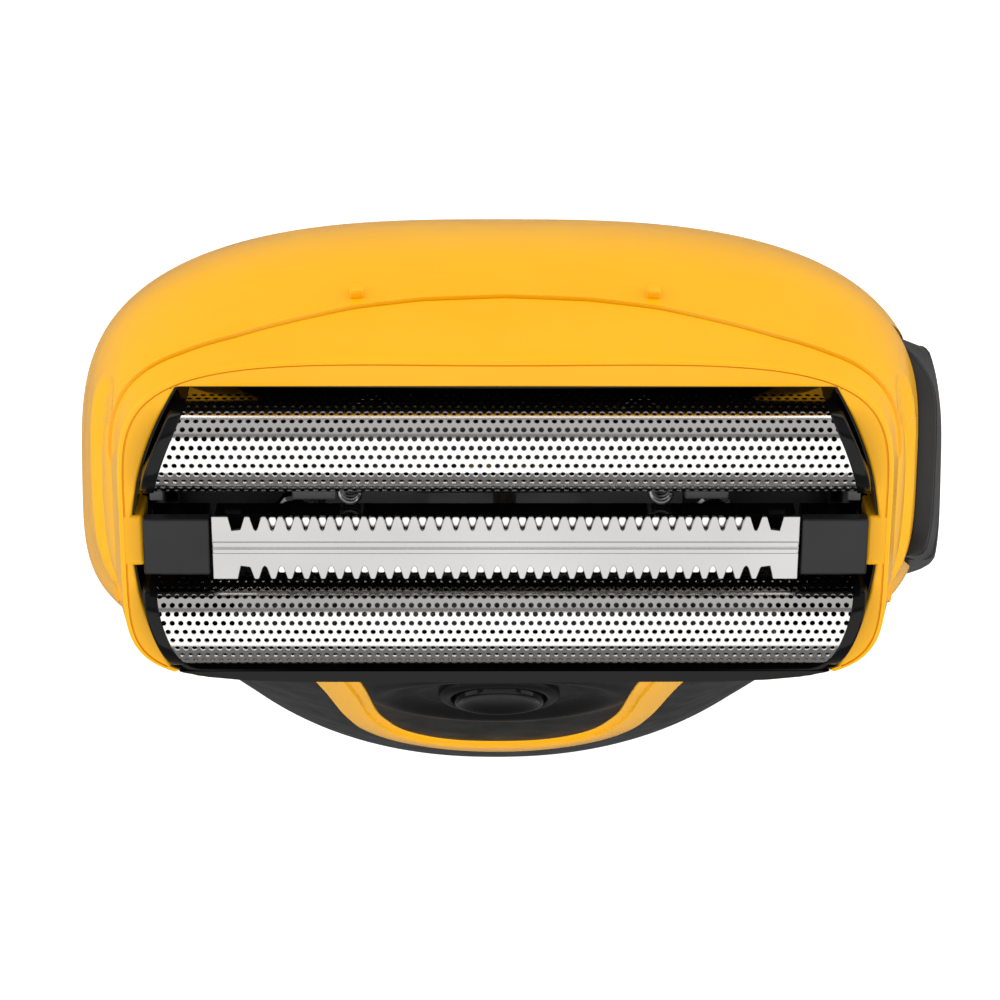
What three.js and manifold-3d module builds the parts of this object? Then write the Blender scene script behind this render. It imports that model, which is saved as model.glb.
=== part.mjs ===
// Cordless twin-foil shaver, standing upright on its flat base.
// Millimetres, +Z up. The front (button side) faces -Y, the head leans forward.

import * as THREE from "three";
import { mergeVertices } from "three/addons/utils/BufferGeometryUtils.js";
import Module from "manifold-3d";

const wasm = await Module();
wasm.setup();

// ---- Driving dimensions ----------------------------------------------------

const FACE_HEIGHT = 117; // centre of the trimmer face above the base
const FACE_Y = -7.5; // centre of the trimmer face, front of the handle's axis
const HEAD_TILT = 28.5; // forward lean of the head, degrees
const WALL = 1.8; // handle wall
const GAP = 0.3; // clearance between neighbouring pieces
const FOIL_OFFSET = 5.6; // foil crest from the head's centre line
const FOIL_HALF = 2.75; // half the width of one foil
const FOIL_CREST = 0.45; // foil crest above the trimmer face
const FOIL_BOTTOM = -5.6;
const FOIL_THICK = 0.3;
const TOOTH_PITCH = 0.976;
const BACK_TEETH = 32;
const FRONT_TEETH = 31;
const COMB_HALF = 17.2; // half length of the trimmer comb
const BLADE_COUNT = 17; // cutter blades under each foil
const BLADE_PITCH = 1.95;
const BUTTON_Z = 76; // power button height
const BUTTON_Y = -15.7;
const BUTTON_SLOPE = 12.8; // lean of the button face, degrees
const BUTTON_R = 3.2;
const MOTOR_R = 6;
const MOTOR_LENGTH = 15;
const BATTERY_R = 7;
const BATTERY_LENGTH = 49;
const CAP_HEIGHT = 6; // base cap
const SOCKET_Y = 7; // charging socket, behind the handle's axis
const ARM_PIVOT_X = 25.2; // side trimmer pivot
const ARM_PIVOT_Z = 57;
const ARM_HALF = 7; // half width of the side trimmer arm
const ARM_TOP = 98.4;
const RELEASE_A = -0.6; // centre of the release buttons in the head's side view
const RELEASE_B = -8.0;
const RELEASE_LONG = 5.4; // half length and half height of a release button
const RELEASE_TALL = 1.9;
const SCREW_X = 14; // base screws from the middle
const POST_X = 8; // drive posts and cutter springs from the middle
const TRIMMER_SPRING_X = 12.5;
const NUB_X = 8.9; // locating nubs on the back, under the seam
const NUB_FACE = 12.7; // back face of the nubs, from the head's centre line
const BAND_TOP = 91;

// Cross-sections of the outer skin, from the rim of the head down to the base.
// Each row: height, y, tilt, half width, front depth, back depth, front and back squareness.
const SECTIONS = [
  [116.3, -6.3, 28.5, 22.7, 10.35, 10.5, 6.5, 4.6],
  [112.95, -4.48, 28.5, 23.6, 10.5, 11.0, 6.2, 4.2],
  [109.5, -2.5, 28.0, 24.8, 10.6, 11.5, 5.6, 3.7],
  [103.5, -1.2, 22.0, 26.2, 10.7, 14.0, 4.8, 3.3],
  [97.0, -0.8, 14.5, 27.4, 11.9, 16.0, 4.2, 3.0],
  [90.0, -0.6, 8.0, 28.0, 12.9, 17.0, 3.6, 2.8],
  [82.0, -0.4, 3.0, 27.9, 14.3, 17.4, 3.0, 2.6],
  [74.0, -0.2, 1.0, 27.4, 16.1, 17.5, 2.6, 2.5],
  [62.0, 0, 0, 26.6, 18.7, 17.3, 2.25, 2.4],
  [50.0, 0, 0, 25.9, 19.5, 17.0, 2.2, 2.3],
  [34.0, 0, 0, 24.8, 19.0, 16.5, 2.2, 2.3],
  [16.0, 0, 0, 23.6, 17.4, 15.6, 2.2, 2.3],
  [1.2, 0, 0, 22.6, 16.0, 14.6, 2.2, 2.3],
  [0, 0, 0, 21.6, 15.0, 13.6, 2.2, 2.3],
];

// ---- Materials -------------------------------------------------------------

const material = (color, roughness, metalness) =>
  new THREE.MeshStandardMaterial({ color, roughness, metalness });
const YELLOW = [0xfbb92c, 0.18, 0];
const SOFT_BLACK = [0x2b2b2b, 0.6, 0];
const GLOSS_BLACK = [0x1c1c1c, 0.25, 0];
const GREY = [0x55585a, 0.5, 0];
const FOIL_STEEL = [0xc9c7c4, 0.25, 1];
const STEEL = [0xb8b6b3, 0.3, 1];
const BRASS = [0xb89b55, 0.35, 1];
const GREEN = [0x1f6b3a, 0.5, 0];
const CELL_WRAP = [0x3a5fa0, 0.4, 0];

// ---- Solids and placing ----------------------------------------------------

const tilt = THREE.MathUtils.degToRad(HEAD_TILT);
const HEAD = new THREE.Matrix4()
  .makeRotationX(tilt)
  .setPosition(0, FACE_Y, FACE_HEIGHT);
const UNHEAD = HEAD.clone().invert();

function solid(geometry) {
  const bare = geometry.clone();
  bare.deleteAttribute("normal");
  bare.deleteAttribute("uv");
  const merged = mergeVertices(bare, 1e-4);
  return new wasm.Manifold(new wasm.Mesh({
    numProp: 3,
    vertProperties: new Float32Array(merged.attributes.position.array),
    triVerts: new Uint32Array(merged.index.array),
  }));
}

function geometryOf(body) {
  const mesh = body.getMesh();
  const geometry = new THREE.BufferGeometry();
  geometry.setAttribute("position", new THREE.BufferAttribute(mesh.vertProperties, 3));
  geometry.setIndex(new THREE.BufferAttribute(mesh.triVerts, 1));
  geometry.computeVertexNormals();
  return geometry;
}

// A box from its low and high corners.
function box(x0, x1, y0, y1, z0, z1) {
  const geometry = new THREE.BoxGeometry(x1 - x0, y1 - y0, z1 - z0);
  return geometry.translate((x0 + x1) / 2, (y0 + y1) / 2, (z0 + z1) / 2);
}

// A round bar along the "x", "y" or "z" axis, starting at the given point.
function bar(radius, length, x, y, z, axis = "z", segments = 24) {
  const geometry = new THREE.CylinderGeometry(radius, radius, length, segments);
  geometry.translate(0, length / 2, 0);
  if (axis === "z") geometry.rotateX(Math.PI / 2);
  if (axis === "x") geometry.rotateZ(-Math.PI / 2);
  return geometry.translate(x, y, z);
}

function outline(points) {
  return new THREE.Shape(points.map(([u, v]) => new THREE.Vector2(u, v)));
}

// A prism whose outline lies in the XY plane, from z0 to z1.
function prismZ(points, z0, z1) {
  const geometry = new THREE.ExtrudeGeometry(outline(points), { depth: z1 - z0, bevelEnabled: false });
  return geometry.translate(0, 0, z0);
}

// A prism whose outline lies in the YZ plane, from x0 to x1.
function prismX(points, x0, x1) {
  const geometry = prismZ(points, x0, x1);
  return geometry.applyMatrix4(new THREE.Matrix4().makeBasis(
    new THREE.Vector3(0, 1, 0), new THREE.Vector3(0, 0, 1), new THREE.Vector3(1, 0, 0)));
}

// A prism whose outline lies in the XZ plane, from y0 to y1.
function prismY(points, y0, y1) {
  const geometry = prismZ(points, -y1, -y0);
  return geometry.rotateX(Math.PI / 2);
}

function mirrorX(points) {
  return points.map(([u, v]) => [-u, v]).reverse();
}

// ---- The outer skin --------------------------------------------------------

function sectionPoint(section, angle, inset) {
  const [height, y, lean, half, front, back, squareFront, squareBack] = section;
  const c = Math.cos(angle);
  const s = Math.sin(angle);
  const power = 2 / (s < 0 ? squareFront : squareBack);
  const depth = (s < 0 ? front : back) - inset;
  const across = Math.sign(c) * Math.abs(c) ** power * (half - inset);
  const along = Math.sign(s) * Math.abs(s) ** power * depth;
  const turn = THREE.MathUtils.degToRad(lean);
  return [across, y + along * Math.cos(turn), height + along * Math.sin(turn)];
}

// The skin moved inwards by inset, closed at the rim and at the base.
function skin(inset, around = 40) {
  const positions = [];
  const index = [];
  const rows = SECTIONS.length;
  for (const section of SECTIONS) {
    for (let i = 0; i < around; i += 1) {
      positions.push(...sectionPoint(section, (i / around) * 2 * Math.PI, inset));
    }
  }
  for (let row = 0; row + 1 < rows; row += 1) {
    for (let i = 0; i < around; i += 1) {
      const j = (i + 1) % around;
      const a = row * around + i;
      const b = row * around + j;
      const c = a + around;
      const d = b + around;
      index.push(a, c, b, b, c, d);
    }
  }
  for (const [row, flip] of [[0, false], [rows - 1, true]]) {
    const [height, y] = SECTIONS[row];
    const centre = positions.length / 3;
    positions.push(0, y, height);
    for (let i = 0; i < around; i += 1) {
      const a = row * around + i;
      const b = row * around + ((i + 1) % around);
      index.push(...(flip ? [centre, b, a] : [centre, a, b]));
    }
  }
  const geometry = new THREE.BufferGeometry();
  geometry.setAttribute("position", new THREE.Float32BufferAttribute(positions, 3));
  geometry.setIndex(index);
  return geometry;
}

const skinSolid = (inset) => solid(skin(inset));
const headSkin = (inset) => solid(skin(inset).applyMatrix4(UNHEAD));
const inBody = (geometry) => solid(geometry.applyMatrix4(HEAD));

// ---- Shared cutting shapes, in head coordinates ----------------------------

// Half width of the barrel-shaped opening of the head.
const openingHalf = (a) => 22.05 - 0.03 * (Math.max(a, -9.6) + 0.3) ** 2;

// The barrel-shaped opening, moved inwards by inset.
function barrel(inset, front, back, b0, b1) {
  const right = [];
  const steps = 14;
  for (let i = 0; i <= steps; i += 1) {
    const a = front + ((back - front) * i) / steps;
    right.push([openingHalf(a) - inset, a]);
  }
  return prismZ([...right, ...mirrorX(right)], b0, b1);
}

// Everything above the seam between head frame and handle.
function aboveSeam(lift) {
  const seam = [[0, -9], [5, -8.6], [9, -7.7], [13, -6.2], [16, -5.1], [19, -4.5], [34, -4.5]];
  const right = seam.map(([x, b]) => [x, b + lift]);
  return prismY([...mirrorX(right.slice(1)), ...right, [34, 30], [-34, 30]], -30, 30);
}

// One foil's arch: a closed outline moved inwards by inset.
function archOutline(inset, bottom, steps = 16) {
  const half = FOIL_HALF - inset;
  const crest = FOIL_CREST - inset;
  const shoulder = -2.6;
  const points = [[-half, bottom]];
  for (let i = 0; i <= steps; i += 1) {
    const angle = Math.PI - (Math.PI * i) / steps;
    const c = Math.cos(angle);
    const s = Math.sin(angle);
    const across = Math.sign(c) * Math.abs(c) ** 0.83 * half;
    points.push([across, shoulder + Math.abs(s) ** 0.83 * (crest - shoulder)]);
  }
  points.push([half, bottom]);
  return points.reverse();
}

function arch(inset, bottom, x0, x1, offset, steps = 16) {
  return solid(prismX(archOutline(inset, bottom, steps), x0, x1).translate(0, offset, 0));
}

// ---- Head pieces -----------------------------------------------------------

function headFrame() {
  return headSkin(0)
    .intersect(solid(aboveSeam(0)))
    .subtract(solid(barrel(0, -16, 9.6, -30, 5)))
    .subtract(solid(box(-30, 30, -30, -8.7, -30, 5)));
}

function foilCassette() {
  const ring = solid(barrel(0.4, -8.9, 9.1, -9.0, -7.2))
    .subtract(solid(barrel(2.2, -7.9, 8.2, -12, 5)));
  const frontWall = headSkin(0)
    .intersect(solid(box(-19.6, 19.6, -12, -8.9, -9.0, -1.5)));
  return ring.add(frontWall);
}

function foil(offset) {
  return arch(0, FOIL_BOTTOM, -24, 24, offset)
    .subtract(arch(FOIL_THICK, FOIL_BOTTOM - 1, -25, 25, offset))
    .intersect(solid(barrel(1.15, -12, 12, -12, 5)));
}

function foilCap(offset, side) {
  return arch(-0.05, FOIL_BOTTOM, side < 0 ? -24 : 0, side < 0 ? 0 : 24, offset)
    .intersect(solid(barrel(0.3, -12, 12, -12, 5)))
    .subtract(solid(barrel(0.85, -14, 14, -14, 6)));
}

function innerCutter(offset) {
  const inset = FOIL_THICK + 0.35;
  let cutter = solid(box(-16.2, 16.2, offset - 1.1, offset + 1.1, -4.8, -2.6));
  for (let i = 0; i < BLADE_COUNT; i += 1) {
    const x = (i - (BLADE_COUNT - 1) / 2) * BLADE_PITCH;
    cutter = cutter.add(arch(inset, -3.6, x - 0.25, x + 0.25, offset, 8));
  }
  for (const x of [-POST_X, POST_X]) {
    cutter = cutter.subtract(solid(bar(1.2, 1.9, x, offset, -5.2, "z", 16)));
  }
  return cutter;
}

function toothRow(count, tip, root, direction) {
  const points = [];
  for (let i = 0; i < count; i += 1) {
    const x = (i - (count - 1) / 2) * TOOTH_PITCH;
    points.push([x - 0.36, root], [x - 0.15, tip], [x + 0.15, tip], [x + 0.36, root]);
  }
  return direction > 0 ? points : points.reverse();
}

function trimmerComb() {
  const back = toothRow(BACK_TEETH, 1.93, 1.03, 1).reverse();
  const front = toothRow(FRONT_TEETH, -2.07, -1.23, 1);
  const points = [
    ...front, [15.6, -1.23], [15.6, -2.07], [COMB_HALF, -2.07], [COMB_HALF, 1.93],
    [16.1, 1.93], [16.1, 1.03], ...back, [-16.1, 1.03], [-16.1, 1.93],
    [-COMB_HALF, 1.93], [-COMB_HALF, -2.07], [-15.6, -2.07], [-15.6, -1.23],
  ];
  return prismZ(points, -0.3, 0);
}

function trimmerBlade() {
  const back = toothRow(29, 1.75, 0.9, 1).reverse();
  const front = toothRow(28, -1.85, -1.05, 1);
  const points = [...front, [14.9, -1.05], [14.9, 0.9], ...back, [-14.9, 0.9], [-14.9, -1.05]];
  return solid(prismZ(points, -0.9, -0.55))
    .add(solid(box(-3, 3, -0.7, 0.7, -4.8, -0.7)))
    .subtract(solid(bar(1.1, 2.2, 0, 0, -5.2, "z", 16)));
}

function trimmerCarrier() {
  return solid(box(-17.1, 17.1, -1.5, 1.5, -3.0, -1.4))
    .subtract(solid(box(-4.4, 4.4, -1.0, 1.0, -4, 0)));
}

function trimmerEndBlock(side) {
  const inner = COMB_HALF + GAP;
  const outer = 21.2;
  return side < 0 ? box(-outer, -inner, -1.8, 1.74, -4.4, 0.05) : box(inner, outer, -1.8, 1.74, -4.4, 0.05);
}

// A coil spring whose axis runs along Z.
function coilSpring(radius, wire, turns, height, x, y, z) {
  const points = [];
  const steps = turns * 9;
  for (let i = 0; i <= steps; i += 1) {
    const angle = (i / 9) * 2 * Math.PI;
    points.push(new THREE.Vector3(
      radius * Math.cos(angle), radius * Math.sin(angle), (height * i) / steps));
  }
  const square = [[-wire, -wire], [wire, -wire], [wire, wire], [-wire, wire]];
  const geometry = new THREE.ExtrudeGeometry(outline(square), {
    steps, bevelEnabled: false,
    extrudePath: new THREE.CatmullRomCurve3(points),
  });
  return geometry.translate(x, y, z);
}

// ---- Drive -----------------------------------------------------------------

function driveBridge() {
  let bridge = solid(box(-11, 11, -7.0, 7.0, -10.6, -9.7))
    .subtract(solid(box(-3.1, 3.1, -3.1, 3.1, -11, -9)));
  for (const offset of [-FOIL_OFFSET, FOIL_OFFSET]) {
    for (const x of [-POST_X, POST_X]) {
      bridge = bridge.add(solid(bar(0.8, 5.5, x, offset, -9.9, "z", 16)));
    }
  }
  const arm = solid(box(-4.6, 4.6, -0.9, 0.9, -8.9, -7.9))
    .add(solid(box(-4.6, -3.6, -0.9, 0.9, -10.0, -7.9)))
    .add(solid(box(3.6, 4.6, -0.9, 0.9, -10.0, -7.9)))
    .add(solid(bar(0.7, 4.0, 0, 0, -8.4, "z", 16)));
  return bridge.add(arm);
}

function topDeck() {
  return headSkin(WALL + GAP)
    .intersect(solid(box(-30, 30, -8.2, 10.2, -12.6, -11.1)))
    .subtract(solid(bar(3.3, 4, 0, 0, -13.5)));
}

function motorShaft() {
  return solid(bar(0.9, 1.2, 0, 0, -14.2, "z", 20))
    .add(solid(bar(2.4, 1.0, 0, 0, -13.2)))
    .add(solid(bar(0.7, 3.4, 0, 1.0, -12.6, "z", 16)));
}

function motorBracket() {
  return solid(box(-9, 9, -7.4, 8.0, -15.6, -14.5))
    .subtract(solid(bar(2.0, 4, 0, 0, -17)));
}

// ---- Handle ----------------------------------------------------------------

// The part of space taken by the black front panel.
function frontZone(shift) {
  const y = (value) => value + shift;
  return solid(prismX([
    [-40, -5], [y(-11.8), -5], [y(-11.8), 60], [y(-11.3), 92], [y(-9), 104], [y(-9), 130], [-40, 130],
  ], -40, 40));
}

// The space above the handle, where the head sits.
function headSpace() {
  const front = box(-34, 34, -30, -7.6, -9.3, 30);
  const well = barrel(0.1, -12, 9.4, -9.6, 5);
  return inBody(aboveSeam(-GAP)).add(inBody(front)).add(inBody(well));
}

const BAND_OUTER = [
  [0, 58.5], [4.6, 59.3], [8, 61], [10.1, 64], [11.3, 68], [13.4, 77], [15.2, 85], [17.9, 97],
];
const BAND_INNER = [
  [0, 62.2], [4.5, 62.8], [7, 64.7], [8.5, 68], [10.2, 77], [11.9, 85], [14.3, 97],
];

// A U-shaped outline in the XZ plane, widened by grow, cut through the front.
function frontPrism(half, grow, top) {
  const right = half.slice(1).map(([x, z]) => [x + grow, z - grow * 0.3]);
  const bottom = [0, half[0][1] - grow];
  return solid(prismY([bottom, ...right, ...mirrorX(right)], -30, -7))
    .intersect(solid(box(-30, 30, -30, 0, 40, top)));
}

function handleShell(inset, thickness) {
  return skinSolid(inset).subtract(skinSolid(inset + thickness));
}

// Pocket for the side trimmer arm on the right of the handle.
function armPocket(grow) {
  return solid(box(10, 40, -ARM_HALF - grow, ARM_HALF + grow, ARM_PIVOT_Z - 2.8 - grow, 101.8 + grow));
}

// The lens shape of a release button in the head's side view, from x0 to x1.
function buttonLens(grow, x0, x1) {
  const points = [];
  const steps = 20;
  for (let i = 0; i < steps; i += 1) {
    const angle = (i / steps) * 2 * Math.PI;
    points.push([
      RELEASE_A + (RELEASE_LONG + grow) * Math.cos(angle),
      RELEASE_B + (RELEASE_TALL + grow) * Math.sin(angle),
    ]);
  }
  return prismX(points, x0, x1);
}

function sideButton(side) {
  const [x0, x1] = side < 0 ? [-30, -15] : [15, 30];
  return headSkin(-0.35)
    .subtract(headSkin(1.3))
    .intersect(solid(buttonLens(0, x0, x1)));
}

// A small locating nub on the back of the handle.
function nub(x) {
  return inBody(box(x - 0.42, x + 0.42, 11.5, NUB_FACE, -10.2, -9.0));
}

function rearShell() {
  const pocket = armPocket(GAP).subtract(skinSolid(1.25))
    .add(solid(bar(1.5, 9.6, ARM_PIVOT_X, -4.8, ARM_PIVOT_Z, "y")))
    .add(solid(box(ARM_PIVOT_X - 1.3, 40, -4.8, 4.8, ARM_PIVOT_Z, ARM_PIVOT_Z + 2.4)))
    .add(solid(bar(0.6, 15, ARM_PIVOT_X, -7.5, ARM_PIVOT_Z, "y")));
  return skinSolid(0)
    .subtract(skinSolid(WALL))
    .subtract(frontZone(GAP))
    .subtract(headSpace())
    .subtract(pocket)
    .subtract(inBody(buttonLens(GAP, -30, 30)))
    .subtract(solid(box(-40, 40, -40, 40, -5, CAP_HEIGHT)))
    .add(nub(-NUB_X))
    .add(nub(NUB_X));
}

function frontShell() {
  return skinSolid(0)
    .subtract(skinSolid(WALL))
    .intersect(frontZone(0))
    .subtract(headSpace())
    .subtract(frontPrism(BAND_OUTER, GAP, BAND_TOP + GAP))
    .subtract(solid(box(-40, 40, -40, 40, -5, CAP_HEIGHT)));
}

function trimBand() {
  return handleShell(0, 1.2)
    .intersect(frontPrism(BAND_OUTER, 0, BAND_TOP))
    .subtract(frontPrism(BAND_INNER, 0, BAND_TOP + 5));
}

function faceAxis(geometry) {
  return geometry
    .rotateX(THREE.MathUtils.degToRad(90 - BUTTON_SLOPE))
    .translate(0, BUTTON_Y, BUTTON_Z);
}

function controlPad() {
  return handleShell(0.25, 1.35)
    .intersect(frontPrism(BAND_INNER, -GAP, BAND_TOP - GAP))
    .subtract(solid(faceAxis(bar(4.5, 12, 0, 0, -6))));
}

function powerButton() {
  const dish = new THREE.LatheGeometry([
    [0, -2.6], [BUTTON_R - 0.6, -2.6], [BUTTON_R - 0.6, -1.2], [BUTTON_R, -1.0],
    [BUTTON_R, 0.1], [BUTTON_R - 0.4, 0.35], [1.8, -0.15], [0, -0.3],
  ].map(([r, z]) => new THREE.Vector2(r, z)), 28);
  return faceAxis(dish.rotateX(Math.PI / 2));
}

function buttonRing() {
  return solid(faceAxis(bar(4.2, 1.4, 0, 0, -1.2, "z", 32)))
    .subtract(solid(faceAxis(bar(3.5, 6, 0, 0, -3, "z", 32))));
}

function baseCap() {
  let cap = skinSolid(0)
    .intersect(solid(box(-40, 40, -40, 40, -1, CAP_HEIGHT - GAP)))
    .subtract(solid(box(-4.3, 4.3, SOCKET_Y - 2.9, SOCKET_Y + 2.9, -2, 12)));
  for (const x of [-SCREW_X, SCREW_X]) {
    cap = cap.subtract(solid(bar(2.3, 3.5, x, 0, -1))).subtract(solid(bar(1.4, 12, x, 0, -1)));
  }
  return cap;
}

function baseScrew(x) {
  return solid(bar(1.9, 1.5, x, 0, 0.7))
    .add(solid(bar(1.0, 8, x, 0, 2.0, "z", 16)))
    .subtract(solid(box(x - 1.4, x + 1.4, -0.25, 0.25, 0, 1.2)));
}

function chargingSocket() {
  return solid(box(-4, 4, SOCKET_Y - 2.6, SOCKET_Y + 2.6, 0.6, 10))
    .subtract(solid(box(-3, 3, SOCKET_Y - 1.6, SOCKET_Y + 1.6, 0, 7)));
}

// ---- Side trimmer ----------------------------------------------------------

function armBlank() {
  return skinSolid(-1.3).subtract(skinSolid(0.9));
}

function sideArm() {
  const zone = solid(box(10, 40, -ARM_HALF, ARM_HALF, ARM_PIVOT_Z + 0.3, ARM_TOP));
  const knuckle = solid(bar(1.1, 9, ARM_PIVOT_X, -4.5, ARM_PIVOT_Z, "y", 24));
  const neck = solid(box(ARM_PIVOT_X - 0.9, ARM_PIVOT_X + 0.9, -4.5, 4.5, ARM_PIVOT_Z, ARM_PIVOT_Z + 1.6));
  return armBlank().intersect(zone)
    .add(knuckle).add(neck)
    .subtract(solid(bar(0.6, 30, ARM_PIVOT_X, -15, ARM_PIVOT_Z, "y", 16)));
}

function sideToothRow(x0, x1, z0, root, tip, count, pitch) {
  const points = [[-ARM_HALF + 1.6, z0], [ARM_HALF - 1.6, z0], [ARM_HALF - 1.6, root]];
  for (let i = count - 1; i >= 0; i -= 1) {
    const y = (i - (count - 1) / 2) * pitch;
    points.push([y + 0.33, root], [y + 0.14, tip], [y - 0.14, tip], [y - 0.33, root]);
  }
  points.push([-ARM_HALF + 1.6, root]);
  return prismX(points, x0, x1);
}

// ---- Assembly --------------------------------------------------------------

const group = new THREE.Group();
const head = new THREE.Group();
head.position.set(0, FACE_Y, FACE_HEIGHT);
head.rotation.x = tilt;
group.add(head);

function add(parent, name, shape, look) {
  const geometry = shape.isBufferGeometry ? shape : geometryOf(shape);
  const mesh = new THREE.Mesh(geometry, material(...look));
  mesh.name = name;
  parent.add(mesh);
}

// Handle
add(group, "rear_shell", rearShell(), YELLOW);
add(group, "front_shell", frontShell(), SOFT_BLACK);
add(group, "trim_band", trimBand(), YELLOW);
add(group, "control_pad", controlPad(), SOFT_BLACK);
add(group, "button_ring", buttonRing(), GLOSS_BLACK);
add(group, "power_button", powerButton(), GLOSS_BLACK);
add(group, "base_cap", baseCap(), SOFT_BLACK);
add(group, "base_screw_left", baseScrew(-SCREW_X), STEEL);
add(group, "base_screw_right", baseScrew(SCREW_X), STEEL);
add(group, "charging_socket", chargingSocket(), GLOSS_BLACK);
for (const [i, x] of [-1.4, 1.4].entries()) {
  add(group, `charging_pin_${i + 1}`, bar(0.5, 4, x, SOCKET_Y, 2.2, "z", 12), BRASS);
}

// Power
add(group, "battery_cell", bar(BATTERY_R, BATTERY_LENGTH, 0, 0, 16, "z", 32), CELL_WRAP);
add(group, "battery_tab_bottom", box(-3, 3, -6, 6, 15.2, 15.6), STEEL);
add(group, "battery_tab_top", box(-3, 3, -6, 6, 65.4, 65.8), STEEL);
add(group, "circuit_board", box(-11, 11, -10.4, -9.2, 30, 88), GREEN);
add(group, "switch_body", box(-2.2, 2.2, -11.9, -10.7, 73, 77.4), GREY);
add(group, "battery_cradle", solid(box(-9.5, 9.5, 2, 9.5, 20, 60))
  .subtract(solid(bar(BATTERY_R + 0.4, 60, 0, 0, 10, "z", 32))), GREY);

// Drive
add(head, "motor_can", bar(MOTOR_R, MOTOR_LENGTH, 0, 0, -31, "z", 32), STEEL);
add(head, "motor_bracket", motorBracket(), GREY);
add(head, "motor_shaft", motorShaft(), BRASS);
add(head, "top_deck", topDeck(), SOFT_BLACK);
add(head, "drive_bridge", driveBridge(), GREY);

// Head
add(head, "head_frame", headFrame(), YELLOW);
add(head, "foil_cassette", foilCassette(), GLOSS_BLACK);
for (const [name, offset] of [["back", FOIL_OFFSET], ["front", -FOIL_OFFSET]]) {
  add(head, `${name}_foil`, foil(offset), FOIL_STEEL);
  add(head, `${name}_foil_cap_left`, foilCap(offset, -1), GLOSS_BLACK);
  add(head, `${name}_foil_cap_right`, foilCap(offset, 1), GLOSS_BLACK);
  add(head, `${name}_cutter`, innerCutter(offset), STEEL);
  for (const [side, x] of [["left", -POST_X], ["right", POST_X]]) {
    add(head, `${name}_cutter_spring_${side}`, coilSpring(1.45, 0.2, 3, 2.2, x, offset, -7.6), STEEL);
  }
}
add(head, "trimmer_comb", trimmerComb(), STEEL);
add(head, "trimmer_blade", trimmerBlade(), STEEL);
add(head, "trimmer_carrier", trimmerCarrier(), GLOSS_BLACK);
add(head, "trimmer_end_block_left", trimmerEndBlock(-1), GLOSS_BLACK);
add(head, "trimmer_end_block_right", trimmerEndBlock(1), GLOSS_BLACK);
for (const [side, x] of [["left", -TRIMMER_SPRING_X], ["right", TRIMMER_SPRING_X]]) {
  add(head, `trimmer_spring_${side}`, coilSpring(1.1, 0.2, 3, 2.4, x, 0, -5.7), STEEL);
}
add(head, "release_button_left", sideButton(-1), YELLOW);
add(head, "release_button_right", sideButton(1), YELLOW);

// Side trimmer
add(group, "side_trimmer_arm", sideArm(), SOFT_BLACK);
add(group, "side_trimmer_pin", bar(0.45, 14.4, ARM_PIVOT_X, -7.2, ARM_PIVOT_Z, "y", 16), STEEL);
add(group, "side_trimmer_comb", sideToothRow(26.75, 27.1, 98.8, 100.4, 101.5, 10, 1.02), STEEL);
add(group, "side_trimmer_blade", sideToothRow(26.15, 26.5, 98.8, 100.2, 101.2, 9, 1.02), STEEL);

export default group;
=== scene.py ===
"""Looks of a cordless twin-foil shaver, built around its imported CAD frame."""
import math

import bmesh
import bpy
import numpy as np
from mathutils import Matrix, Vector


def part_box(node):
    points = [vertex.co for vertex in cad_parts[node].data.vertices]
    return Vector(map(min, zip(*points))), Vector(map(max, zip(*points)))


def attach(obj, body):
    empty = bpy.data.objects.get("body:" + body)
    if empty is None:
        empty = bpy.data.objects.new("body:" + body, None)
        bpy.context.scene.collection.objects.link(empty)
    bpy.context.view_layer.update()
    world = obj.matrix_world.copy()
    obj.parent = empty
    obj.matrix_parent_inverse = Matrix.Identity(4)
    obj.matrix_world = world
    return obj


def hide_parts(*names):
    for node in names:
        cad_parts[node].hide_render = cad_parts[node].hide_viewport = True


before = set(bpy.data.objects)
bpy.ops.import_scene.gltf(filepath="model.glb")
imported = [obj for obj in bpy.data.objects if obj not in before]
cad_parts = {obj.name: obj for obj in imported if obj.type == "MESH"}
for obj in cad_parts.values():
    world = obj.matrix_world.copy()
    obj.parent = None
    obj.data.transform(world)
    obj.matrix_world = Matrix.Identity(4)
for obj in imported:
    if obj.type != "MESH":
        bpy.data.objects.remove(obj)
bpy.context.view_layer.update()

# ---- Driving dimensions, in millimetres and degrees ------------------------

MM = 0.001
FACE_Y = -7.5
FACE_HEIGHT = 117.0
HEAD_TILT = 28.5
WALL = 1.8
RIM_B = -1.2  # top of the head frame below the trimmer face
FOIL_OFFSET = 5.6
FOIL_HALF = 2.75
FOIL_CREST = 0.45
FOIL_BOTTOM = -5.0
FOIL_SHOULDER = -2.6
ARCH_POWER = 0.83
FOIL_END = 0.55  # foil end, inside the opening's wall
HOLE_PITCH = 0.505
HOLE_ROW = 0.546
HOLE_RADIUS = 0.168
HOLE_SIDES = 12
TOOTH_PITCH = 0.976
COMB_HALF = 17.2
BUTTON_Z = 76.0
BUTTON_Y = -15.7
BUTTON_SLOPE = 12.8
ARM_HALF = 7.0
ARM_PIVOT = (25.2, 57.0)  # x and z of the side trimmer's pin
ARM_TOP = 98.4
CAP_HEIGHT = 5.7
NUB_X = 8.9
SCREW_X = 14
RELEASE_CENTRE = (-0.6, -7.6)  # back and up, in the head
RELEASE_REACH = (5.4, 2.45)  # half length and half height of the release buttons
HOOD_LOW = 102.4  # top of the side trimmer's hood at its front
HOOD_RISE = 3.6
HOOD_SLOPE = 1.9
SEAM_GAP = 0.1
SHELF = -9.3  # top of the front shell, in the head

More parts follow.
